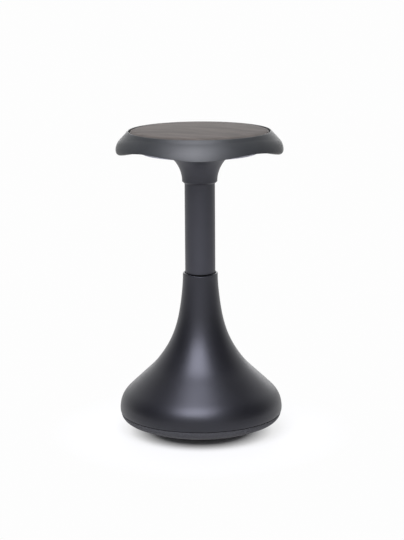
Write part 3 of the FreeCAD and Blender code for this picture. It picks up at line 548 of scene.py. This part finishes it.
rim = {
    "around": 384,
    "recess": 143.5 * mm,       # wall of the pad's recess
    "topEdge": 629.8 * mm,
    "edgeRounding": 1.1 * mm,
    "edgeGap": 0.1 * mm,        # the slope starts this far outside the recess
    # the next three are for the left and right lobes, and for the front and back
    "shoulder": (28.0 * mm, 76.0 * mm),     # radius of the outer curve
    "slope": (18.1 * mm, 7.0 * mm),         # how far the 45 degree slope above that curve reaches
    "nose": (9.9 * mm, 0.9 * mm),           # roundness of the lower edge
    "leastNose": 0.3 * mm,      # roundness of the lower edge on the inside, where there is little room
    "lip": 146.0 * mm,          # inside, the lip that holds the stiff core
    "lipHeight": 596.5 * mm,
    "core": 150.1 * mm,
    "coreLow": 599.0 * mm,
    "coreHigh": 607.0 * mm,
    "coreGap": 0.2 * mm,
    "riseFrom": 591.9 * mm,     # the inside leans in towards the lip where the lower edge is above this
    "waveMean": 592.25 * mm,    # the lower edge waves round the seat: one part makes the sides lower,
    "waveSide": 4.0 * mm,       # the other makes four lobes
    "waveLobe": 6.25 * mm,
}


def rimSection(angle):
    low = rim["waveMean"] + rim["waveSide"] * math.cos(2 * angle) - rim["waveLobe"] * math.cos(4 * angle)
    side = max(0.0, -math.cos(2 * angle)) ** 2
    shoulder, slope, nose = [
        rim[key][1] + (rim[key][0] - rim[key][1]) * side for key in ("shoulder", "slope", "nose")
    ]
    small = rim["edgeRounding"]
    tangent = (rim["recess"] + rim["edgeGap"] + slope, rim["topEdge"] - slope)
    centre = (tangent[0] - shoulder * math.sqrt(0.5), tangent[1] - shoulder * math.sqrt(0.5))
    section = along((rim["recess"], rim["coreHigh"]), (rim["recess"], rim["topEdge"] - small), steps=4)
    section += bow((rim["recess"] + small, rim["topEdge"] - small), small, 180, 45, steps=6)
    section += along(section[-1], tangent, steps=7)[1:]
    end = math.asin(max(0.0, low + nose - centre[1]) / shoulder)    # here the outside starts to turn under
    section += bow(centre, shoulder, 45, math.degrees(end), steps=18)
    top, steps = section[-1], 8
    for k in range(1, steps + 1):
        t = math.radians(90 * k / steps)
        section.append((top[0] - nose * (1 - math.cos(t)) + math.tan(end) * nose * math.sin(t) * math.cos(t),
                        top[1] - nose * math.sin(t)))
    under = min(nose, max(rim["leastNose"], rim["coreLow"] - rim["coreGap"] - low))
    rise = min(1.0, max(0.0, (low + under - rim["riseFrom"]) / (rim["lipHeight"] - rim["riseFrom"])))
    inner = rim["core"] + (rim["lip"] - rim["core"]) * rise
    section += along(section[-1], (inner + under, low), steps=4)[1:]
    section += bow((inner + under, low + under), under, 270, 180, steps=8)
    high = max(rim["lipHeight"], low + under)
    section += along(section[-1], (rim["lip"], high), steps=3)[1:]
    section += [(rim["lip"], high), (rim["lip"], rim["coreLow"])]
    return section + [(rim["core"], rim["coreLow"]), (rim["core"], rim["coreHigh"])]


def makeRim(finish):
    piece = spun("seat_rim_skin", rimSection, rim["around"], sharpAngle=50.0)
    return dress(piece, finish, "seat", "rim_skin", "seat_rim")


pad = {
    "around": 160,
    "rings": 40,                # steps from the middle of the top to its edge
    "radius": 142.5 * mm,
    "edgeHeight": 630.9 * mm,
    "crown": 4.1 * mm,          # the middle is this much higher than the edge
    "flatness": 2.4,            # the higher, the flatter the middle
    "rounding": 1.6 * mm,
    "low": 607.6 * mm,
    "bevel": (2 * mm, 3 * mm),  # of the lower edge, across and up
    "voxel": 3.0 * mm,
    "start": 1.0 * mm,          # the cover starts this much too small
    "swell": 1.4 * mm,          # the most that a point may move
    "pressure": 4.0,
    "quality": 6,               # steps that the cloth is worked out in, for each frame
    "frames": 20,
}


def padTop(radius):
    # height of the crowned top, which flattens towards the middle
    return pad["edgeHeight"] + pad["crown"] * (1 - min(1.0, radius / pad["radius"]) ** pad["flatness"])


def makePad(finish):
    small = pad["start"]
    reach = pad["radius"] - pad["rounding"] - small
    rings = pad["rings"]
    section = [(reach * i / rings, padTop(reach * i / rings) - small) for i in range(rings + 1)]
    corner = (reach, section[-1][1] - pad["rounding"])
    section += bow(corner, pad["rounding"], 90, 0, steps=6)[1:]
    side, (across, up) = section[-1][0], pad["bevel"]
    section += [(side, pad["low"] + up), (side - across, pad["low"]), (0.0, pad["low"])]
    piece = spun("pad_cover_cloth", lambda angle: section, pad["around"], sharpAngle=180.0)
    swellPad(piece)
    co = coordinates(piece)
    co[:, :2] *= pad["radius"] / np.hypot(co[:, 0], co[:, 1]).max()     # the cloth settles a little smaller
    co[:, 2] = np.maximum(co[:, 2] + padTop(0.0) - co[:, 2].max(), pad["low"])
    setCoordinates(piece, co)
    smoothMesh(piece.data, 180.0)
    finer = piece.modifiers.new("finer", "SUBSURF")
    finer.levels = 1
    finer.render_levels = 1
    return dress(piece, finish, "seat", "pad_fabric", "pad_cover", "pad_foam")


def swellPad(piece):
    # the cover is blown up a little from inside, as foam presses on cloth
    remesh = piece.modifiers.new("remesh", "REMESH")
    remesh.mode = "VOXEL"
    remesh.voxel_size = pad["voxel"]
    applyModifiers(piece)
    start = coordinates(piece)
    cloth = piece.modifiers.new("cloth", "CLOTH")
    cloth.settings.use_pressure = True
    cloth.settings.uniform_pressure_force = pad["pressure"]
    cloth.settings.effector_weights.gravity = 0.0
    cloth.settings.quality = pad["quality"]
    cloth.point_cache.frame_start = 1
    cloth.point_cache.frame_end = pad["frames"]
    for number in range(1, pad["frames"] + 1):
        bpy.context.scene.frame_set(number)
    applyModifiers(piece)
    bpy.context.scene.frame_set(1)
    move = coordinates(piece) - start
    length = np.linalg.norm(move, axis=1, keepdims=True)
    setCoordinates(piece, start + move * np.minimum(1.0, pad["swell"] / np.maximum(length, 1e-9)))


def makeRingSprings(finish):
    # a copy of the CAD's coil springs, smooth shaded and finished, in place of the CAD node
    piece = bpy.data.objects.new("ring_spring_coils", nodes["ring_springs"].data.copy())
    bpy.context.scene.collection.objects.link(piece)
    piece.data.materials.clear()
    piece.data.materials.append(finish)
    smoothMesh(piece.data, cadSharpAngle)
    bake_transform(piece)
    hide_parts("ring_springs")


# Base

bell = {
    "around": 320,
    "foot": 45.5 * mm,
    "neck": 330.0 * mm,         # the outline is read from the CAD up to here
    "readStep": 3 * mm,
    "step": 2.5 * mm,           # between the points of the outline as drawn
    "ease": 6,                  # how many points to each side even out its bends
    "wall": 3.5 * mm,
    "collar": 35.9 * mm,        # outside of the collar
    "collarGap": 1 * mm,        # from the outline's last point up to the straight collar
    "throat": 32.4 * mm,        # inside of the collar
    "throatRounding": 0.5 * mm,
    "lipHeight": 337.2 * mm,
    "lipRounding": 1.4 * mm,
    "footRounding": 0.9 * mm,
    "scoopRadius": 108.0 * mm,  # the collar's mouth is scooped, lower at the front and back
    "scoopCentre": 442.5 * mm,
}


def makeBell(finish):
    outline = outerSkin("base_bell", bell["foot"], bell["neck"], bell["readStep"])
    print("bell outline read:", len(outline), "points")
    skin = eased(curveThrough(outline, bell["step"]), bell["ease"])
    inner = insideOf(skin, bell["wall"])[::-1]
    small, foot, throat = bell["lipRounding"], bell["footRounding"], bell["throatRounding"]
    skin = bow((skin[0][0] - foot, skin[0][1] + foot), foot, 270, 350, steps=5) + skin[1:]

    def section(angle):
        x = (bell["collar"] - small) * math.sin(angle)
        scoop = bell["scoopCentre"] - math.sqrt(bell["scoopRadius"] ** 2 - x ** 2)
        high = min(bell["lipHeight"], scoop)
        collarFoot = (bell["collar"], bell["neck"] + bell["collarGap"])
        points = skin + along(collarFoot, (bell["collar"], high - small), steps=2)
        points += bow((bell["collar"] - small, high - small), small, 0, 90, steps=6)
        points += bow((bell["throat"] + throat, high - throat), throat, 90, 180, steps=3)
        return points + inner

    piece = spun("base_bell_shell", section, bell["around"])
    return dress(piece, finish, "base", "bell_plastic", "base_bell")


sole = {
    "around": 320,
    "rest": 50.0 * mm,          # radius of the flat patch that the stool stands on
    "seam": 43.4 * mm,
    "readTo": 45.2 * mm,        # the outline is read from the CAD up to here
    "readStep": 2 * mm,
    "step": 2.5 * mm,
    "wall": 7.0 * mm,
    "edgeRounding": 0.9 * mm,
}


def makeSole(finish):
    outline = outerSkin("floor_sole", 0.0, sole["readTo"], sole["readStep"])
    outline = [(sole["rest"], 0.0)] + [point for point in outline if point[1] < sole["seam"]]
    skin = [(0.0, 0.0)] + curveThrough(outline, sole["step"])
    small, edge, steps = sole["edgeRounding"], (skin[-1][0], sole["seam"]), 5
    skin += bow((edge[0] - small, edge[1]), small, 0, 90, steps)
    # the inside follows the outside below the rounding, with a third of its points
    inner = [(edge[0] - sole["wall"], edge[1] + small)]
    inner += insideOf(skin[1:-steps - 1], sole["wall"])[::-3]
    section = skin + [p for p in inner if p[0] < edge[0] - sole["wall"] + 0.01 * mm]
    section += [(0.0, sole["wall"])]
    piece = spun("floor_sole_rubber", lambda angle: section, sole["around"])
    return dress(piece, finish, "base", "sole_rubber", "floor_sole")


print("frame loaded:", len(nodes), "nodes")
makeCamera()
makeWorld()
makeLamps()
makeFloor()
print("camera, light and floor set")
finishes = makeFinishes()
makeRim(finishes["rim_skin"])
makePad(finishes["pad_fabric"])
slots = {row["node"]: row["material_slot"] for row in frame["record"]["subparts"]}
makeRingSprings(finishes[slots["ring_springs"]])
makeBell(finishes["bell_plastic"])
makeSole(finishes["sole_rubber"])
print("seat and base dressed")

for name, slot in slots.items():
    node = nodes[name]
    node.data.materials.clear()
    node.data.materials.append(finishes[slot])
    smoothMesh(node.data, cadSharpAngle)
print("other parts finished")
